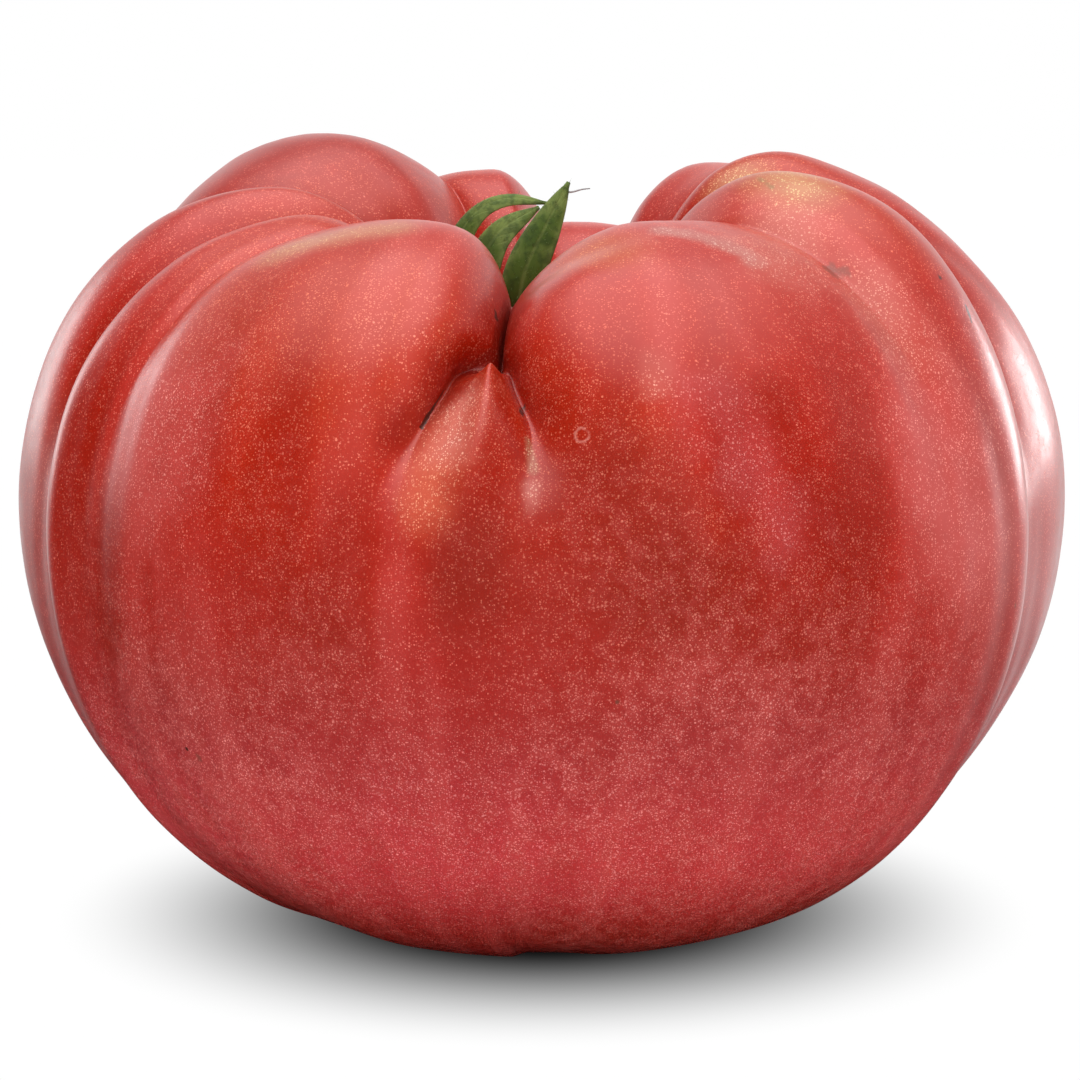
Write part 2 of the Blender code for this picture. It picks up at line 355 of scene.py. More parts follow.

# %% [markdown]
# ## The tree that grows the fruit
#
# A flat grid is bent into the fruit: its columns go round and its rows run down the
# outline. Each point looks up the furrow on either side of it, works out how deep the skin
# is pushed in there, and moves along the outline's outward direction. In Geometry Nodes
# the fruit stays adjustable: a finer skin or a lumpier fruit is one input.
#
# Three values stay on the skin for its colour: how near a point is to a furrow's bottom, how
# far along the outline it is, and the faint ribs, which get painted shade in their hollows
# and a painted rosy sheen on their crests.

# %% Geometry Nodes: lobed fruit
def lobed_fruit_tree():
    tree, number, result = new_group("lobed_fruit", "Geometry", {
        "Geometry": "Geometry", "Outline": "Object", "Lobes": "Int",
        "Columns per lobe": "Int", "Rows": "Int", "Width": "Float", "Depth": "Float",
        "Lumps": "Float", "Ribs": "Float", "Skin": "Material",
    })
    lobes, per_lobe, rows = number["Lobes"], number["Columns per lobe"], number["Rows"]
    columns = lobes * per_lobe
    grid = make_node(tree, "GeometryNodeMeshGrid", Size_X=columns, Size_Y=rows,
                     Vertices_X=columns + 1.0, Vertices_Y=rows + 1.0)
    place = make_node(tree, "GeometryNodeInputPosition").outputs[0]
    grid_x, grid_y, _ = parts(tree, place)
    column = calculate("ROUND", grid_x + columns * 0.5)
    along = calculate("ROUND", grid_y + rows * 0.5) / rows

    def lobe_number(name, index):
        named = make_node(tree, "GeometryNodeInputNamedAttribute", Name=name)
        found = make_node(tree, "GeometryNodeSampleIndex", Geometry=number["Geometry"],
                          Value=named.outputs["Attribute"], Index=index)
        return Field(tree, found.outputs["Value"])

    meridian = make_node(tree, "GeometryNodeObjectInfo", Object=number["Outline"])
    sample = make_node(tree, "GeometryNodeSampleCurve", {"mode": "FACTOR"},
                       Curves=meridian.outputs["Geometry"], Factor=along)
    radius, _, height = parts(tree, sample.outputs["Position"])
    up, _, inwards = parts(tree, sample.outputs["Tangent"])
    out = inwards * -1.0

    opening = rising(0.02, 0.12, along)
    upper = opening * (1.0 - rising(0.25, 0.50, along))
    swell = rising(0.16, 0.28, along) * (1.0 - rising(0.30, 0.48, along))
    tucked = rising(0.322, 0.356, along)
    beneath = rising(0.62, 0.80, along) * (1.0 - rising(0.86, 0.98, along))
    low = rising(0.60, 0.75, along)
    softness = 0.01 + 0.35 * rising(0.38, 0.60, along) + low
    sharpness = 0.85 + 0.35 * rising(0.33, 0.50, along) + 0.5 * low

    def furrow(index):
        """The furrow's turn in degrees, its depth in metres, and its tuck in degrees."""
        swing = rising(lobe_number("bend", index), lobe_number("bent", index), along)
        turn = between(lobe_number("top", index), lobe_number("side", index), swing)
        hold, end = lobe_number("hold", index), lobe_number("end", index)
        cut = opening * (1.0 - rising(hold, end, along))
        depth = (lobe_number("depth", index) * cut + lobe_number("under", index) * beneath) * MM
        return turn, depth, lobe_number("tuck", index) * cut * tucked

    def crease(distance, fullness):
        """1 in the furrow, falling to 0 past the lobe's crown."""
        distance = calculate("MINIMUM", distance / 0.6, 1.0)
        eased = calculate("SQRT", distance * distance + softness * softness) - softness
        full = calculate("SQRT", softness * softness + 1.0) - softness
        filled = rising(fills, fills + 0.08, along)
        fullness = 2.0 + (fullness - 2.0) * filled
        return (1.0 - clamped(eased / full) ** sharpness) ** fullness

    lobe = calculate("FLOOR", (column + 0.5) / per_lobe)
    even = column / per_lobe - lobe
    lobe, even = lobe + 1.0, calculate("MAXIMUM", even, 0.0)
    share_across = even - calculate("SINE", even * (2.0 * math.pi)) * (0.25 / math.pi)
    start, depth_start, tuck_start = furrow(lobe)
    stop, depth_stop, tuck_stop = furrow(lobe + 1.0)
    tip, fills = lobe_number("tip", lobe), lobe_number("fills", lobe)
    quick_rise = rising(tip + 0.012, tip + 0.048, along)
    slow_rise = rising(tip, tip + 0.16, along)
    recess = 1.0 - 0.75 * quick_rise - 0.25 * slow_rise
    squeezed = calculate("GREATER_THAN", tip, 0.01)
    recess = recess * (1.0 + 0.3 * rising(0.20, 0.30, along)) * squeezed * opening
    recess = recess * lobe_number("depth", lobe) * MM
    at_start = crease(share_across, lobe_number("first", lobe))
    at_stop = crease(1.0 - share_across, lobe_number("last", lobe))
    first_half = calculate("LESS_THAN", share_across, 0.5)
    nearest = lobe + 1.0 - 2.0 * first_half
    share = between(1.5 - share_across, 0.5 + share_across, first_half)
    share = rising(0.0, 1.0, share)
    crest, reach, shoulder = (
        between(lobe_number(name, nearest), lobe_number(name, lobe), share)
        for name in ("crest", "reach", "shoulder"))
    depth = recess + (depth_start - recess) * at_start + (depth_stop - recess) * at_stop
    depth = depth - shoulder * swell * MM
    turn = between(start, stop, share_across)
    turn = turn - tuck_start * at_start * at_start - tuck_stop * at_stop * at_stop
    angle = calculate("RADIANS", turn)

    # Faint ribs: noise that changes quickly round the fruit and slowly down it
    east, north = calculate("SINE", angle), calculate("COSINE", angle)
    way = joined(tree, east * 9.0, north * 9.0, along * 3.0)
    rib = noise(tree, Vector=way, Scale=1.0, Detail=1.0)
    ribbed = rising(0.20, 0.34, along) * (1.0 - rising(0.60, 0.80, along))
    depth = depth + (rib - 0.5) * 2.0 * number["Ribs"] * ribbed
    far = radius * reach - out * depth
    high = height + (crest * MM - CREST_HEIGHT) * upper - up * depth
    bent = joined(tree, far * east, far * north * -1.0, calculate("MAXIMUM", high, 0.0))

    lit_edge = at_start * depth_start * (1.0 - squeezed * 0.8)
    deepest = calculate("MAXIMUM", calculate("MAXIMUM", lit_edge, at_stop * depth_stop), recess)
    furrow_mark = deepest / DEEPEST_FURROW
    skin = grid.outputs["Mesh"]
    for name, value in (("furrow", furrow_mark), ("along", along), ("rib", rib)):
        skin = changed(tree, "StoreNamedAttribute", skin, Name=name, Value=value)
    skin = changed(tree, "SetPosition", skin, Position=bent)

    # The lobes reach out unevenly, so the fruit is centred and brought to its stated size.
    box = make_node(tree, "GeometryNodeBoundBox", Geometry=skin)
    lowest, highest = parts(tree, box.outputs["Min"]), parts(tree, box.outputs["Max"])
    now = parts(tree, place)
    sized = [(at - (small + large) * 0.5) * wanted / (large - small) for at, small, large, wanted
             in zip(now, lowest, highest, (number["Width"], number["Depth"]))]
    skin = changed(tree, "SetPosition", skin, Position=joined(tree, *sized, now[2]))
    skin = changed(tree, "MergeByDistance", skin, Distance=0.001 * MM)
    skin = make_node(tree, "GeometryNodeFlipFaces", Mesh=skin).outputs["Mesh"]

    # Broad low lumps, gone at the base so that the fruit still rests on its flat spot.
    lump = noise(tree, Scale=52.0, Detail=2.0, Roughness=0.45)
    lump = (lump - 0.5) * 2.0 * number["Lumps"]
    lump = lump * rising(4.0 * MM, 16.0 * MM, now[2])
    normal = make_node(tree, "GeometryNodeInputNormal").outputs[0]
    shift = vector_math(tree, "SCALE", normal, Scale=lump)
    skin = changed(tree, "SetPosition", skin, Offset=shift)
    skin = changed(tree, "SetShadeSmooth", skin)
    plug(tree, result, changed(tree, "SetMaterial", skin, Material=number["Skin"]))
    return tree


fruit_tree = lobed_fruit_tree()
print(len(fruit_tree.nodes), "nodes")

# %% Grow the fruit
skin_material = new_material("tomato_skin")
fruit = grown("tomato_fruit", furrows, fruit_tree, {
    "Outline": outline,
    "Lobes": len(LOBES),
    "Columns per lobe": 32,
    "Rows": 240,
    "Width": FRUIT_WIDTH,
    "Depth": FRUIT_DEPTH,
    "Lumps": 0.22 * MM,
    "Ribs": 0.5 * MM,
    "Skin": skin_material,
})
bpy.data.objects.remove(outline)
corners = np.array([v.co for v in fruit.data.vertices])
print("fruit from", corners.min(axis=0).round(4), "to", corners.max(axis=0).round(4))

# %% [markdown]
# ## Patterns for the skin
#
# Three effects come back again and again, so each is a node group with named inputs.
# Specks are the pale pores of such a skin: a Voronoi pattern puts one point in each cell,
# and only a small ball around it is coloured. A mark is a patch of colour at one place, round
# or along a line; marks serve for real blemishes and for painted shade and highlights.
# Blotches are noise with a soft threshold.

# %% Node groups: specks, mark and blotches
def specks_group():
    """Small round dots of uneven size and strength, one in each cell of Spacing."""
    group, number, result = new_group("specks", "Shader", {
        "Vector": "Vector", "Spacing": "Float", "Size": "Float", "Plenty": "Float",
    })
    cells = make_node(group, "ShaderNodeTexVoronoi", Vector=number["Vector"],
                      Scale=1.0 / number["Spacing"], Randomness=1.0)
    split = make_node(group, "ShaderNodeSeparateColor", Color=cells.outputs["Color"])
    shown, width, strength = (Field(group, socket) for socket in split.outputs)
    away = Field(group, cells.outputs["Distance"]) * number["Spacing"]
    shown = rising(1.0 - number["Plenty"] - 0.15, 1.15 - number["Plenty"], shown)
    radius = number["Size"] * (0.32 + 0.36 * width)
    dot = 1.0 - rising(radius * 0.30, radius, away)
    plug(group, result, dot * shown * (0.40 + 0.60 * strength))
    return group


def mark_group():
    """1 in a patch round the line from Start to End, with an edge made uneven by noise."""
    group, number, result = new_group("mark", "Shader", {
        "Vector": "Vector", "Start": "Vector", "End": "Vector", "Radius": "Float",
        "Soft": "Float", "Ragged": "Float", "Grain": "Float",
    })

    def measured(operation, first, second):
        return Field(group, vector_math(group, operation, first, second, output="Value"))

    line = vector_math(group, "SUBTRACT", number["End"], number["Start"])
    reach = vector_math(group, "SUBTRACT", number["Vector"], number["Start"])
    length = calculate("MAXIMUM", measured("DOT_PRODUCT", line, line), 1e-9)
    share = clamped(measured("DOT_PRODUCT", reach, line) / length)
    away = measured("DISTANCE", reach, vector_math(group, "SCALE", line, Scale=share))
    wobble = noise(group, Vector=number["Vector"], Scale=number["Grain"], Detail=2.0)
    wobble = (wobble - 0.5) * 2.0 * number["Ragged"]
    edge = rising(1.0 - number["Soft"], 1.0, away / number["Radius"] + wobble)
    plug(group, result, 1.0 - edge)
    return group


def blotches_group():
    """Soft blotches: noise between two levels."""
    group, number, result = new_group("blotches", "Shader", {
        "Vector": "Vector", "Scale": "Float", "Detail": "Float", "Low": "Float",
        "High": "Float",
    })
    level = noise(group, **{name: number[name] for name in ("Vector", "Scale", "Detail")})
    plug(group, result, rising(number["Low"], number["High"], level))
    return group


SPECKS, MARK, BLOTCHES = specks_group(), mark_group(), blotches_group()


def effect(tree, group, **inputs):
    """The mask that one of the node groups puts out, placed in a material."""
    node = make_node(tree, "ShaderNodeGroup", {"node_tree": group}, **inputs)
    return Field(tree, node.outputs["Mask"])


def painted(tree, under, over, mask):
    """The colour under, covered by the colour over where the mask is 1."""
    mix = make_node(tree, "ShaderNodeMix", {"data_type": "RGBA"}, Factor=mask)
    for socket, colour in zip(mix.inputs[6:8], (under, over)):
        mixed = isinstance(colour, bpy.types.NodeSocket)
        plug(tree, socket, colour if mixed else (*colour, 1.0))
    return mix.outputs[2]


def layered(tree, colour, *layers):
    """The colour, covered by each layer's colour in turn where its mask is 1."""
    for over, mask in layers:
        colour = painted(tree, colour, over, mask)
    return colour


def blotched(tree, scale, detail, low, high):
    """Blotches on the object, from their scale, detail and two levels."""
    return effect(tree, BLOTCHES, Vector=object_place(tree), Scale=scale, Detail=detail,
                  Low=low, High=high)


def dressed(tree, inputs):
    """Links or sets inputs of the material's shader."""
    for name, value in inputs.items():
        plug(tree, tree.nodes["Principled BSDF"].inputs[name], value)


def attribute(tree, name):
    node = make_node(tree, "ShaderNodeAttribute", {"attribute_name": name})
    return Field(tree, node.outputs["Fac"])


def object_place(tree):
    return make_node(tree, "ShaderNodeTexCoord").outputs["Object"]


print("groups:", SPECKS.name, MARK.name, BLOTCHES.name)

# %% [markdown]
# ## The skin
#
# A ripe skin is a clear waxy film over red flesh. Its colour is built in layers, from
# broad to fine: red that leans to orange in places, with painted light low down and painted
# shade at the very bottom and in the rib hollows, yellow on the shoulders that ripened last,
# painted shade, highlights and sheen on the lobes, deeper red in the furrows as painted shade,
# a rosy bloom that low down is partly a painted reflection of the floor, then the pale specks,
# and at the end the scars and dark dots. The film gives a satin gloss, which the specks break
# up a little.

# %% Skin colours and marks
RIPE_RED = (0.390, 0.013, 0.005)
CRIMSON = (0.290, 0.017, 0.021)
# Colour of painted floor light on the lower body.
PAINTED_BOUNCE_RED = (0.470, 0.034, 0.038)
DEEP_RED = (0.270, 0.007, 0.001)
BROWN_RED = (0.250, 0.009, 0.002)
ORANGE_RED = (0.440, 0.050, 0.012)
ROSE = (0.520, 0.068, 0.058)
PALE_ROSE = (0.620, 0.220, 0.170)
SPECK_GAIN, SPECK_LIFT = (1.6, 4.2, 4.4), (0.090, 0.070, 0.055)
YELLOW = (0.560, 0.290, 0.130)
GREEN = (0.200, 0.130, 0.040)
ORANGE_FLUSH = (0.520, 0.110, 0.040)
# Colours of painted highlights on the wedge.
WEDGE_HIGHLIGHT_RED = (0.58, 0.110, 0.060)
WEDGE_HIGHLIGHT_PALE = (0.60, 0.170, 0.130)
# Colour of a painted sheen.
SHEEN_ROSE = (0.460, 0.070, 0.070)
SCUFF = (0.420, 0.180, 0.150)
PORE = (0.85, 0.45, 0.25)
CORK = (0.330, 0.190, 0.110)
BROWN = (0.160, 0.045, 0.028)
DARK = (0.030, 0.008, 0.005)
# Colour of painted shade in the deepest creases.
CREASE_SHADE_RED = (0.150, 0.004, 0.001)

# Start, end and radius in mm, colour, its strength, and the edge's raggedness and softness
Mark = namedtuple("Mark", "start end radius colour strength ragged soft", defaults=(1.0,))


def dot(place, *rest):
    return Mark(place, place, *rest)


# The first table holds real colour and painted shade, highlights and sheen; the second, small
# marks.
STAINS_AND_PAINTED_LIGHT = {
    # Real colour: yellow shoulders, an orange flush, a scuff and a corky streak.
    "yellow_right": Mark((21.6, 0.0, 85.5), (28.0, -16.0, 86.5), 6.5, YELLOW, 0.65, 0.3),
    "yellow_left": Mark((-16.0, -27.4, 83.1), (-28.0, -25.8, 80.6), 4.5, YELLOW, 0.4, 0.3),
    "orange_front": Mark((4.8, -30.6, 81.1), (8.0, -34.0, 80.0), 7.0, ORANGE_FLUSH, 0.6, 0.3),
    "scuff_front": Mark((12.8, -29.1, 82.8), (21.6, -31.9, 80.4), 2.6, SCUFF, 0.5, 1.0, 0.9),
    "cork_streak": Mark((-1.7, -47.4, 63.3), (-1.2, -49.7, 60.5), 0.7, CORK, 0.55, 0.9, 0.9),
    # Darker brownish red and deep red patches across the middle of the front.
    "deep_wedge": Mark((-6.0, -53.5, 54.0), (-7.6, -54.5, 49.5), 9.0, BROWN_RED, 0.95, 0.4),
    "deep_middle": Mark((7.0, -52.5, 58.0), (14.0, -53.2, 50.0), 13.0, BROWN_RED, 0.95, 0.4),
    "deep_right": Mark((29.5, -47.2, 53.5), (26.0, -49.0, 44.0), 12.0, DEEP_RED, 0.8, 0.5),
    "deep_left": Mark((-20.5, -49.5, 53.5), (-23.0, -51.0, 46.0), 9.0, DEEP_RED, 0.75, 0.5),
    # Painted shade: a dark cheek on the left, and a dark band down a groove of the right lobe.
    "cheek_shade": Mark((-46.0, -31.5, 54.0), (-47.2, -30.6, 40.0), 6.0, DEEP_RED, 0.85, 0.4),
    "band_shade_high": Mark((16.3, -35.0, 80.5), (23.2, -45.9, 67.2), 5.0, DEEP_RED, 0.3, 0.5),
    "band_shade_low": Mark((23.2, -45.9, 67.2), (29.5, -47.2, 54.0), 6.0, DEEP_RED, 0.7, 0.5),
    # Painted highlights: a lit glow and a paler top on the wedge, and a pale streak where the
    # furrow right of it ends.
    "wedge_painted_light": Mark((-9.5, -46.5, 65.0), (-11.5, -50.5, 57.5), 5.4, WEDGE_HIGHLIGHT_RED, 0.9, 0.5),
    "wedge_painted_top": Mark((-8.5, -45.5, 66.5), (-9.7, -48.4, 63.5), 5.0, WEDGE_HIGHLIGHT_PALE, 0.8, 0.4),
    "seam_light": Mark((-1.3, -51.2, 59.0), (-1.3, -52.4, 54.0), 1.4, PALE_ROSE, 0.3, 0.7),
    # Painted sheen: rosy reflections beside the dark band and high on the right lobe.
    "band_sheen": Mark((16.0, -47.5, 68.0), (24.5, -49.5, 54.0), 6.0, SHEEN_ROSE, 0.42, 0.9),
    "sheen_high": Mark((25.5, -24.0, 82.0), (24.0, -30.0, 79.0), 9.0, PALE_ROSE, 0.3, 0.5),
    "sheen_far": Mark((34.0, -28.0, 75.5), (38.0, -30.0, 70.0), 8.0, PALE_ROSE, 0.3, 0.5),
    # Pinker patches on the left and right lobes.
    "rose_left": Mark((-38.0, -36.5, 67.0), (-41.0, -36.5, 58.0), 12.0, ROSE, 0.75, 0.5),
    "rose_right": Mark((41.0, -35.5, 64.0), (44.0, -34.5, 50.0), 11.0, ROSE, 0.75, 0.5),
    # Painted shade: the flanks that turn into the furrows beside the wedge, and the far shoulders
    # left and right.
    "flank_shade_high": Mark((-5.5, -35.0, 74.2), (-10.9, -43.0, 68.9), 4.2, DEEP_RED, 0.9, 0.4),
    "flank_shade_low": Mark((-10.9, -43.0, 68.9), (-15.0, -46.5, 64.0), 3.8, DEEP_RED, 0.75, 0.4),
    "flank_shade_right": Mark((-1.0, -35.0, 75.0), (1.0, -46.5, 65.5), 2.8, DEEP_RED, 0.75, 0.4),
    "wedge_side_shade": Mark((-4.4, -46.5, 67.0), (-3.1, -49.3, 62.6), 2.2, DEEP_RED, 0.8, 0.5),
    "far_left_shade": Mark((-28.0, 20.0, 87.0), (-36.0, 16.0, 78.0), 28.0, DEEP_RED, 0.85, 0.4),
    "far_right_shade": Mark((40.0, -2.0, 84.0), (48.0, -6.0, 72.0), 12.0, DEEP_RED, 0.2, 0.4),
    # Painted highlight: a pale spot on the front.
    "highlight_spot": Mark((11.3, -47.0, 71.0), (11.3, -48.5, 68.8), 3.0, PALE_ROSE, 0.22, 0.8),
}
MARKS = {
    "streak_by_notch": Mark((-5.5, -32.9, 74.7), (-5.3, -33.5, 74.0), 0.55, DARK, 0.9, 1.0, 0.5),
    "fork_by_notch": Mark((-5.8, -34.0, 74.6), (-5.3, -33.4, 74.0), 0.32, DARK, 0.8, 1.0, 0.5),
    "spot_in_furrow": Mark((-2.1, -43.7, 66.1), (-2.5, -44.7, 65.8), 0.55, DARK, 0.85, 1.2, 0.8),
    # The crack's dark line is partly brown cork and partly painted shadow inside the crack.
    "crack": Mark((-10.6, -41.7, 67.5), (-12.8, -44.4, 64.2), 0.34, DARK, 0.9, 0.9, 0.6),
    "scar_right": Mark((30.4, -26.9, 78.6), (31.8, -26.5, 78.0), 1.4, BROWN, 0.65, 1.0, 0.8),
    "dash_right": Mark((45.6, -21.5, 74.0), (46.1, -22.6, 72.4), 0.3, DARK, 0.9, 0.8, 0.5),
    "dot_right": dot((42.7, -22.0, 77.1), 0.45, DARK, 0.85, 0.8, 0.6),
    "dot_left": dot((-38.2, -36.0, 28.2), 0.36, DARK, 0.95, 0.4, 0.5),
    "faint_dot_left": dot((-36.8, -36.9, 27.5), 0.7, BROWN, 0.6, 0.7, 0.8),
    "dot_front": dot((7.4, -53.4, 37.0), 0.35, BROWN, 0.8, 0.5, 0.6),
    "pale_dot": dot((-5.9, -51.2, 60.2), 0.24, PORE, 0.9, 0.5, 0.7),
    "green_right": Mark((24.7, -15.4, 86.2), (23.6, -13.0, 86.8), 0.6, GREEN, 0.55, 1.0, 0.9),
    "side_speck_high": Mark((50.7, -27.2, 42.7), (50.8, -27.0, 41.9), 0.3, BROWN, 0.8, 0.8, 0.6),
    "side_speck_low": Mark((50.7, -25.6, 38.0), (50.7, -25.9, 38.6), 0.4, BROWN, 0.7, 0.8, 0.6),
}
RING = dot((3.8, -49.7, 64.2), 1.05, PALE_ROSE, 0.55, 0.3, 0.3)
RING_HOLE = RING._replace(radius=0.78, soft=0.4)
# The first count takes in the painted shade, highlights and sheen as well as real colour.
print(len(STAINS_AND_PAINTED_LIGHT), "stains and", len(MARKS), "small marks")


# %% Skin material
def mark_mask(tree, place, mark, grain):
    return effect(tree, MARK, Vector=place, Start=Vector(mark.start) * MM,
                  End=Vector(mark.end) * MM, Radius=mark.radius * MM, Soft=mark.soft,
                  Ragged=mark.ragged, Grain=grain)


def painted_with_marks(tree, colour, place, marks, grain):
    """The colour with each of the marks painted over it."""
    for mark in marks.values():
        mask = mark_mask(tree, place, mark, grain) * mark.strength
        colour = painted(tree, colour, mark.colour, mask)
    return colour


def dress_skin(material):
    tree = material.node_tree
    place = object_place(tree)
    furrow, along, rib = (attribute(tree, name) for name in ("furrow", "along", "rib"))

    warm = blotched(tree, 26.0, 2.0, 0.42, 0.68)
    low = rising(0.44, 0.68, along + (warm - 0.5) * 0.08)
    middle = rising(0.30, 0.44, along) * (1.0 - rising(0.48, 0.62, along))
    colour = layered(
        tree, RIPE_RED,
        (CRIMSON, low),
        # Painted light: a lighter red low down, for the light that the white floor throws up.
        (PAINTED_BOUNCE_RED, rising(0.58, 0.71, along)),
        # Painted shade: a darker red at the very bottom, next to the floor.
        (DEEP_RED, rising(0.71, 0.80, along) * 0.75),
        (ORANGE_RED, warm * (0.35 - 0.25 * low)),
        # Painted shade in the rib hollows, and a painted rosy sheen on their crests.
        (DEEP_RED, rising(0.44, 0.62, rib) * (0.14 + 0.60 * middle)),
        (ROSE, (1.0 - rising(0.36, 0.50, rib)) * 0.25),
    )
    # Real colour, painted shade, painted highlights and painted sheen from the first table.
    colour = painted_with_marks(tree, colour, place, STAINS_AND_PAINTED_LIGHT, 160.0)

    crowd = blotched(tree, 520.0, 5.0, 0.40, 0.62)
    broad = blotched(tree, 48.0, 2.0, 0.32, 0.66)
    deep = blotched(tree, 260.0, 5.0, 0.44, 0.76)
    bloom = crowd * (0.45 + 0.55 * broad)
    colour = layered(
        tree, colour,
        # Painted shade: a deeper red towards the bottom of each furrow, nearly black red in the
        # deepest creases.
        (DEEP_RED, rising(0.30, 0.90, furrow) * 0.9),
        (CREASE_SHADE_RED, rising(0.84, 1.0, furrow) * 0.7),
        # Rosy bloom; its extra strength low down is a painted reflection of the floor.
        (ROSE, bloom * (0.06 + 0.34 * low)),
        (DEEP_RED, deep * 0.22),
    )

    plenty = 0.28 + 0.20 * broad + 0.60 * bloom + 0.24 * low
    coarse = effect(tree, SPECKS, Vector=place, Spacing=0.42 * MM, Size=0.30 * MM,
                    Plenty=plenty * 0.5)
    fine = effect(tree, SPECKS, Vector=place, Spacing=0.23 * MM, Size=0.20 * MM,
                  Plenty=plenty + 0.06)
    speck = calculate("MAXIMUM", coarse, fine)
    lighter = vector_math(tree, "MULTIPLY_ADD", colour, SPECK_GAIN, SPECK_LIFT)
    colour = painted(tree, colour, lighter, speck)

    ring, hole = (mark_mask(tree, place, mark, 1300.0) for mark in (RING, RING_HOLE))
    broken = blotched(tree, 700.0, 1.0, 0.38, 0.54)
    colour = painted(tree, colour, RING.colour, ring * (1.0 - hole) * broken * RING.strength)
    colour = painted_with_marks(tree, colour, place, MARKS, 1100.0)

    uneven = blotched(tree, 500.0, 4.0, 0.35, 0.65) - 0.5
    cork_ring = 1.0 - rising(0.035, 0.085, along + uneven * 0.03)
    scar = rising(0.984, 0.993, along + uneven * 0.008)
    colour = layered(tree, colour, (CORK, cork_ring * 0.8), (CORK, scar * 0.9))

    pits = noise(tree, Vector=place, Scale=1500.0, Detail=2.0) * 0.35 + speck * 0.5
    bump = make_node(tree, "ShaderNodeBump", Height=pits, Strength=0.35, Distance=0.05 * MM)
    creased = rising(0.60, 1.0, furrow)
    dressed(tree, {
        "Base Color": colour,
        "Roughness": 0.28 + 0.05 * bloom + 0.10 * speck + 0.30 * cork_ring + 0.10 * creased,
        "Normal": bump.outputs["Normal"],
        "IOR": 1.43,
        "Subsurface Weight": 0.06,
        "Subsurface Radius": (1.0, 0.25, 0.12),
        "Subsurface Scale": 2.0 * MM,
    })
    print(material.name, len(tree.nodes), "nodes")


dress_skin(skin_material)

# %% [markdown]
# ## The calyx
#
# The calyx is a small green disc with the end of the stalk on it and a ring of narrow
# sepals. Those at the front and left have dried a little, and stand up and curl over to
# the right, so they show between the shoulders. The others lie along the wall of the
# cavity. Each sepal is a thin lens swept along its own path, folded along its middle.
#
# Two values stay on the blade for its colour: how far along it a point is, and how far
# from the midrib.

# %% Numbers of the calyx
CALYX_CENTRE = (-2.0, 0.0)
SEPAL_THICKNESS = 0.8
SEPAL_FOLD = 0.12

# Greatest width in mm, the way the face looks, and points along the middle in mm
Sepal = namedtuple("Sepal", "width face path")
SEPALS = {
    "front": Sepal(4.8, (-0.1, -1.0, 0.15), (
        (-2.0, -1.0, 66.0), (-2.8, -5.5, 68.5), (-2.8, -7.0, 72.5),
        (-2.0, -6.8, 76.5), (0.3, -5.6, 81.3), (2.7, -4.0, 85.8))),
    "front_left": Sepal(4.9, (-0.4, -0.8, 0.4), (
        (-2.6, -0.6, 66.0), (-6.4, -3.2, 68.6), (-7.6, -3.6, 73.0),
        (-6.8, -3.2, 77.0), (-4.8, -2.6, 80.2), (-0.6, -1.8, 82.8))),
    "left": Sepal(3.5, (-0.35, -0.6, 0.7), (
        (-3.0, 0.0, 66.0), (-7.4, 0.5, 68.4), (-10.2, 0.9, 73.5), (-9.8, 1.1, 78.4),
        (-7.4, 1.2, 82.0), (-4.0, 1.1, 83.4), (0.4, 0.6, 83.0))),
    "right_front": Sepal(4.6, (0.6, -0.4, 0.7), (
        (-1.0, -0.6, 66.0), (3.2, -3.4, 67.8), (6.6, -6.0, 70.4), (8.6, -7.6, 73.4))),
    "right": Sepal(4.2, (-0.8, -0.1, 0.7), (
        (-1.2, 0.3, 66.0), (3.2, 1.2, 68.0), (6.8, 1.9, 70.6), (9.2, 2.4, 73.8))),
    "back_right": Sepal(4.4, (-0.2, -0.7, 0.8), (
        (-1.6, 0.8, 66.0), (0.8, 4.4, 68.0), (2.2, 7.2, 71.0), (3.0, 9.0, 74.6))),
    "back_left": Sepal(4.2, (0.3, -0.7, 0.8), (
        (-2.4, 0.8, 66.0), (-4.2, 4.6, 68.0), (-5.4, 7.4, 71.4), (-6.2, 9.0, 75.4))),
}

# The disc and the stalk end, as radius and height in mm
STALK_OUTLINE = (
    (0.0, 64.5), (3.2, 64.5), (4.2, 64.7), (4.7, 65.6), (4.4, 66.5), (3.4, 67.5), (2.7, 68.4),
    (2.5, 70.0), (2.4, 71.5), (2.75, 72.5), (2.8, 73.2), (2.4, 73.7), (1.2, 73.5), (0.0, 73.6),
)


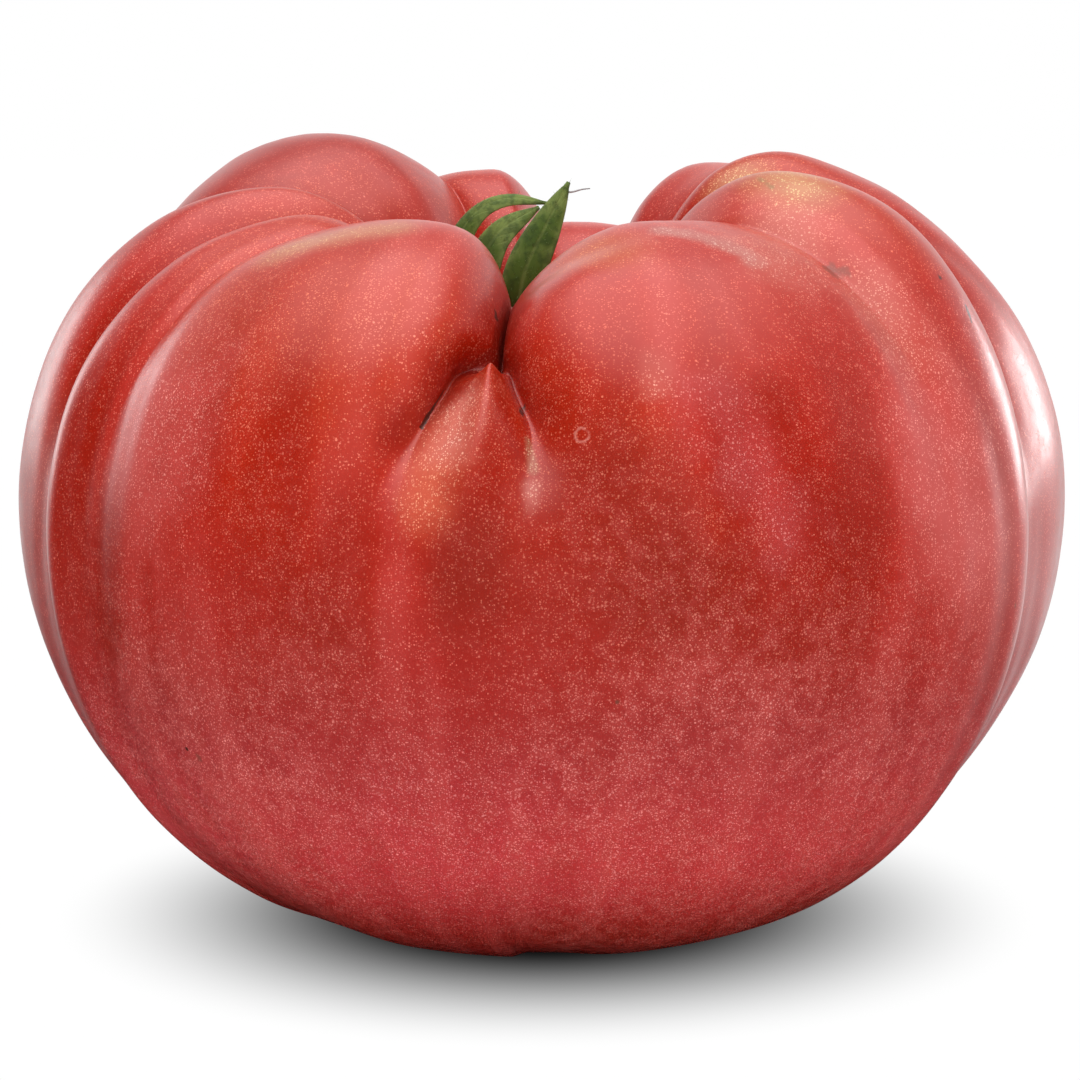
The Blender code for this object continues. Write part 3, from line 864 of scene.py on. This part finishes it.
# %% Sepals and stalk as one mesh
def sepal_rings(sepal, stations, around):
    """Cross sections of a sepal, and for each point how far along and across it is."""
    path = np.array(sepal.path)
    middle = smooth_curve(path, 2.0 * path[0] - path[1], 2.0 * path[-1] - path[-2], stations)
    tangent = np.gradient(middle, axis=0)
    side = np.cross(sepal.face, tangent)
    side /= np.linalg.norm(side, axis=1)[:, None]
    face = np.cross(tangent, side)
    face /= np.linalg.norm(face, axis=1)[:, None]
    rings, values = [], []
    for i in range(stations + 1):
        x = i / stations
        swelling = math.sin(math.pi * (0.14 + 0.86 * x**1.2)) ** 0.75 if x < 1.0 else 0.0
        half = 0.5 * sepal.width * max(swelling, 0.10)
        thick = 0.5 * SEPAL_THICKNESS * (1.0 - 0.5 * x**3)
        wave = 0.16 * math.sin(9.0 * x + sepal.width) * half / 2.0
        turns = np.arange(around) * 2.0 * math.pi / around
        across = np.cos(turns)
        groove = 0.22 * np.exp(-((across / 0.16) ** 2)) * (np.sin(turns) > 0.0)
        folded = thick * np.sin(turns) - SEPAL_FOLD * half * across**2
        lift = folded - groove * thick + wave * across**3
        rings.append(middle[i] + np.outer(half * across, side[i]) + np.outer(lift, face[i]))
        values.append(np.column_stack([np.full(around, x), across]))
    return np.array(rings), np.array(values)


def stalk_rings(around):
    """Rings round the stalk, wavy where it broke off, with the values of a sepal's base."""
    x, y = CALYX_CENTRE
    turns = np.arange(around) * 2.0 * math.pi / around
    rings = []
    for radius, height in STALK_OUTLINE:
        ribs = radius * (1.0 + 0.05 * np.cos(5.0 * turns))
        rings.append(np.column_stack([x + ribs * np.cos(turns), y + ribs * np.sin(turns),
                                      np.full(around, height)]))
    values = np.zeros((len(rings), around, 2))
    values[:, :, 1] = 0.6
    return np.array(rings), values


def shell_faces(rows, around, first):
    """Quads between rings and one cap at each end, with outward faces."""
    faces = []
    for i in range(rows - 1):
        for k in range(around):
            a, b = first + i * around + k, first + i * around + (k + 1) % around
            faces.append((a, b, b + around, a + around))
    faces.append(tuple(first + k for k in reversed(range(around))))
    faces.append(tuple(first + (rows - 1) * around + k for k in range(around)))
    return faces


def make_calyx(material):
    shells = [stalk_rings(40)] + [sepal_rings(sepal, 44, 24) for sepal in SEPALS.values()]
    points, values, faces = [], [], []
    for rings, marks in shells:
        faces += shell_faces(rings.shape[0], rings.shape[1], sum(len(p) for p in points))
        points.append(rings.reshape(-1, 3))
        values.append(marks.reshape(-1, 2))
    mesh = bpy.data.meshes.new("tomato_calyx")
    mesh.from_pydata(np.vstack(points) * MM, [], faces)
    values = np.vstack(values)
    for column, name in enumerate(("blade_along", "blade_across")):
        kept = mesh.attributes.new(name, "FLOAT", "POINT")
        kept.data.foreach_set("value", values[:, column])
    mesh.materials.append(material)
    mesh.shade_smooth()
    print(mesh.name, len(mesh.polygons), "faces")
    return add_object("tomato_calyx", mesh)


leaf_material = new_material("sepal_green")
calyx = make_calyx(leaf_material)

# %% [markdown]
# ## Sepal colour
#
# Sepals are dark at the base, where they shade each other, and lighter towards the tip.
# The midrib and the edge are paler, and faint veins run from the midrib to the edge.

# %% Sepal material
LEAF_DARK = (0.016, 0.036, 0.006)
LEAF_GREEN = (0.052, 0.095, 0.010)
LEAF_PALE = (0.200, 0.250, 0.070)
LEAF_YELLOW = (0.130, 0.155, 0.015)


def dress_leaf(material):
    tree = material.node_tree
    along, across = attribute(tree, "blade_along"), attribute(tree, "blade_across")
    patch = blotched(tree, 260.0, 3.0, 0.40, 0.66)
    yellow = blotched(tree, 120.0, 1.0, 0.50, 0.64)
    blot = blotched(tree, 900.0, 3.0, 0.42, 0.62)
    side = calculate("ABSOLUTE", across)
    wave = calculate("SINE", (along * 1.3 - side * 0.16) * 75.0)
    vein = rising(0.55, 0.98, wave) * (1.0 - rising(0.7, 0.95, side)) * 0.5 * patch
    rib = 1.0 - rising(0.03, 0.14, side)
    colour = layered(
        tree, LEAF_DARK,
        (LEAF_GREEN, rising(0.15, 0.60, along)),
        (LEAF_PALE, patch * rising(0.35, 0.95, along) * 0.65),
        (LEAF_YELLOW, yellow * 0.45),
        (LEAF_PALE, calculate("MAXIMUM", rib * 0.3, vein * 0.4)),
        (LEAF_PALE, rising(0.60, 1.0, side) * 0.45),
        (LEAF_DARK, blot * 0.55),
    )
    grain = noise(tree, Vector=object_place(tree), Scale=1800.0, Detail=3.0)
    height = grain * 0.6 - vein * 0.5 - rib * 0.4
    bump = make_node(tree, "ShaderNodeBump", Height=height, Strength=0.6, Distance=0.12 * MM)
    dressed(tree, {
        "Base Color": colour,
        "Roughness": 0.55 + 0.15 * patch,
        "Normal": bump.outputs["Normal"],
        "Sheen Weight": 0.05,
        "Sheen Roughness": 0.5,
        "Specular IOR Level": 0.25,
    })
    print(material.name, len(tree.nodes), "nodes")


dress_leaf(leaf_material)

# %% [markdown]
# ## Hairs on the sepals
#
# A tomato's green parts are covered with short soft hairs. A tree scatters points on the
# blades and puts a thin three-sided spike on each, leaning a little at random. Seen whole,
# they only soften the edges.

# %% Geometry Nodes: hairs
def hairs_tree():
    tree, number, result = new_group("fine_hairs", "Geometry", {
        "Geometry": "Geometry", "Hairs per square metre": "Float", "Length": "Float",
        "Thickness": "Float", "Seed": "Int", "Hair": "Material",
    })
    spread = make_node(tree, "GeometryNodeDistributePointsOnFaces", Mesh=number["Geometry"],
                       Density=number["Hairs per square metre"], Seed=number["Seed"])
    lean = make_node(tree, "FunctionNodeRandomValue", {"data_type": "FLOAT_VECTOR"},
                     Min=(-0.6, -0.6, -0.6), Max=(0.6, 0.6, 0.6), Seed=number["Seed"])
    aim = vector_math(tree, "ADD", spread.outputs["Normal"], lean.outputs["Value"])
    turn = make_node(tree, "FunctionNodeAlignRotationToVector", {"axis": "Z"}, Vector=aim)
    spike = make_node(tree, "GeometryNodeMeshCone", {"fill_type": "NGON"}, Vertices=3,
                      Radius_Top=0.0, Radius_Bottom=number["Thickness"] * 0.5,
                      Depth=number["Length"])
    size = make_node(tree, "FunctionNodeRandomValue", {"data_type": "FLOAT"})
    for socket, value in zip([s for s in size.inputs if s.type == "VALUE"], (0.5, 1.2)):
        plug(tree, socket, value)
    placed = make_node(tree, "GeometryNodeInstanceOnPoints", Points=spread.outputs["Points"],
                       Instance=spike.outputs["Mesh"], Rotation=turn.outputs["Rotation"],
                       Scale=[s for s in size.outputs if s.type == "VALUE"][0])
    real = changed(tree, "RealizeInstances", placed.outputs["Instances"])
    plug(tree, result, changed(tree, "SetMaterial", real, Material=number["Hair"]))
    return tree


def two_tone(name, dark, light, roughness, *blotches):
    """A plain material that varies between two colours."""
    material = new_material(name)
    tree = material.node_tree
    shade = blotched(tree, *blotches)
    dressed(tree, {"Base Color": painted(tree, dark, light, shade), "Roughness": roughness})
    return material


hair_material = two_tone("sepal_hair", (0.07, 0.12, 0.03), (0.20, 0.28, 0.09), 0.6,
                         300.0, 1.0, 0.35, 0.65)
blades = add_object("blades", calyx.data.copy())
hairs = grown("sepal_hairs", blades, hairs_tree(), {
    "Hairs per square metre": 2.4e6,
    "Length": 0.55 * MM,
    "Thickness": 0.05 * MM,
    "Seed": 7,
    "Hair": hair_material,
})

# %% [markdown]
# ## The dry thread at the tip
#
# A thin grey thread stands out sideways from the highest sepal. It is a curve with a round
# section that gets thinner to its end, made a mesh.

# %% Thread
THREAD = ((2.55, -4.1, 84.7), (3.2, -4.1, 84.75), (4.2, -4.0, 85.0), (5.1, -4.0, 85.1))


def make_thread(material):
    drawn = drawn_curve("thread", smooth_curve(THREAD, THREAD[0], THREAD[-1], 16) * MM)
    drawn.data.bevel_depth = 0.13 * MM
    drawn.data.bevel_resolution = 3
    drawn.data.use_fill_caps = True
    points = drawn.data.splines[0].points
    for i, point in enumerate(points):
        point.radius = 1.0 - 0.6 * i / len(points)
    mesh = settled_mesh(drawn)
    mesh.materials.clear()
    mesh.materials.append(material)
    mesh.shade_smooth()
    return add_object("sepal_thread", mesh)


thread_material = two_tone("dry_thread", (0.11, 0.10, 0.10), (0.34, 0.33, 0.33), 0.7,
                           900.0, 3.0, 0.35, 0.65)
thread = make_thread(thread_material)
print(thread.name, len(thread.data.polygons), "faces")

# %% [markdown]
# ## Floor and light
#
# The fruit stands on white paper in a white studio: a large soft light overhead, a bright
# room at the sides and behind, and a dark room on the viewer's side. The dark side makes
# the middle of the fruit deep red, while its top and base mirror the light and the floor
# and look rosy. Two strips behind its shoulders show only as pale streaks along its sides,
# and a fill on the viewer's side lights it without a reflection. The gloss shows the
# overhead light as a glow with no edge, as a wide cloth would look.
#
# A red thing this close to white paper tints its own shadow. So the floor shows the viewer
# a soft neutral shadow that fades away from where the fruit touches down, and is plain
# white paper for light that bounces. In the gloss it is dark on the viewer's side, like
# the room above it.

# %% Floor
SHADOW_CENTRE = Vector((0.0, 4.0, 0.0)) * MM
SHADOW_DARK, SHADOW_GONE = 18.0 * MM, 58.0 * MM
FLOOR_WHITE = 0.92
GLOSS_NEAR, GLOSS_FAR = 0.02, 1.00


def make_floor():
    mesh = bpy.data.meshes.new("floor")
    mesh.from_pydata([(-1, -1, 0), (1, -1, 0), (1, 1, 0), (-1, 1, 0)], [], [(0, 1, 2, 3)])
    built = add_object("floor", mesh)
    material = new_material("white_paper")
    tree = material.node_tree
    rays = make_node(tree, "ShaderNodeLightPath").outputs
    x, y, _ = parts(tree, object_place(tree))
    mirrored = painted(tree, (GLOSS_NEAR,) * 3, (GLOSS_FAR,) * 3, rising(0.0, 0.20, y + x * 0.35))
    paper = painted(tree, (FLOOR_WHITE,) * 3, mirrored, rays["Is Glossy Ray"])
    dressed(tree, {"Base Color": paper, "Roughness": 0.9, "Specular IOR Level": 0.0})
    away = vector_math(tree, "DISTANCE", object_place(tree), SHADOW_CENTRE, output="Value")
    shade = rising(SHADOW_DARK, SHADOW_GONE, Field(tree, away)) + 0.004
    shown = make_node(tree, "ShaderNodeEmission", Color=joined(tree, shade, shade, shade))
    seen = tree.nodes.new("ShaderNodeMixShader")
    shader = tree.nodes["Principled BSDF"]
    ways = (rays["Is Camera Ray"], shader.outputs["BSDF"], shown.outputs["Emission"])
    for socket, source in zip(seen.inputs, ways):
        tree.links.new(source, socket)
    tree.links.new(seen.outputs["Shader"], tree.nodes["Material Output"].inputs["Surface"])
    mesh.materials.append(material)
    return built


floor = make_floor()
print(floor.name, "2 m square")

# %% Lights
# Place of the middle, width and height in metres, and radiance
Panel = namedtuple("Panel", "place width height radiance")
PANELS = {
    "softbox": Panel((0.0, -0.10, 0.95), 1.0, 1.0, 3.1),
    "fill": Panel((0.0, -1.00, 0.30), 1.6, 0.56, 2.6),
    "strip_left": Panel((-0.62, 0.62, 0.15), 0.30, 0.40, 3.2),
    "strip_right": Panel((0.70, 0.58, 0.12), 0.30, 0.34, 10.0),
}


def make_panel(name, panel):
    light = bpy.data.lights.new(name, "AREA")
    light.shape = "RECTANGLE"
    light.size, light.size_y = panel.width, panel.height
    light.energy = panel.radiance * math.pi * panel.width * panel.height
    built = add_object(name, light)
    built.location = panel.place
    aim = Vector((0.0, 0.0, 0.04)) - built.location
    built.rotation_euler = aim.to_track_quat("-Z", "Y").to_euler()
    built.visible_camera = False
    print(name, round(light.energy, 1), "W")
    return built


panels = {name: make_panel(name, panel) for name, panel in PANELS.items()}
for name in ("softbox", "fill"):
    panels[name].visible_glossy = False
for name in ("strip_left", "strip_right"):
    panels[name].visible_diffuse = False

# %% Room
ROOM_HIGH = 0.40
ROOM_GLOW = 3.4
ROOM_BRIGHT = 1.00
ROOM_DARK = 0.01


def make_world():
    """Bright round the sides and behind, and dark at eye level on the viewer's side."""
    world = bpy.data.worlds.new("studio")
    world.use_nodes = True
    tree = world.node_tree
    background = tree.nodes["Background"]
    x, y, z = parts(tree, make_node(tree, "ShaderNodeTexCoord").outputs["Generated"])
    front = rising(-0.40, 0.15, y * -0.98 + x * -0.35)
    level = 1.0 - rising(0.35, 0.80, calculate("ABSOLUTE", z))
    rays = make_node(tree, "ShaderNodeLightPath").outputs
    straight, mirrored = Field(tree, rays["Is Camera Ray"]), Field(tree, rays["Is Glossy Ray"])
    around = between(ROOM_BRIGHT, ROOM_DARK, front)
    glow = rising(0.66, 0.99, z) * mirrored * ROOM_GLOW
    brightness = between(between(ROOM_HIGH, around, level) + glow, 1.0, straight)
    plug(tree, background.inputs["Strength"], brightness)
    background.inputs["Color"].default_value = (1.0, 1.0, 1.0, 1.0)
    bpy.context.scene.world = world


make_world()
bpy.context.scene.view_settings.view_transform = "Standard"
print("room from", ROOM_DARK, "to", ROOM_BRIGHT)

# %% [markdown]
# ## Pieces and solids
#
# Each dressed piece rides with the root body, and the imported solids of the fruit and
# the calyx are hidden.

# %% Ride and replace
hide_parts("fruit")
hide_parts("calyx")
for piece, finish in ((fruit, "skin"), (calyx, "calyx"), (hairs, "calyx"), (thread, "calyx")):
    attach(piece, "root")
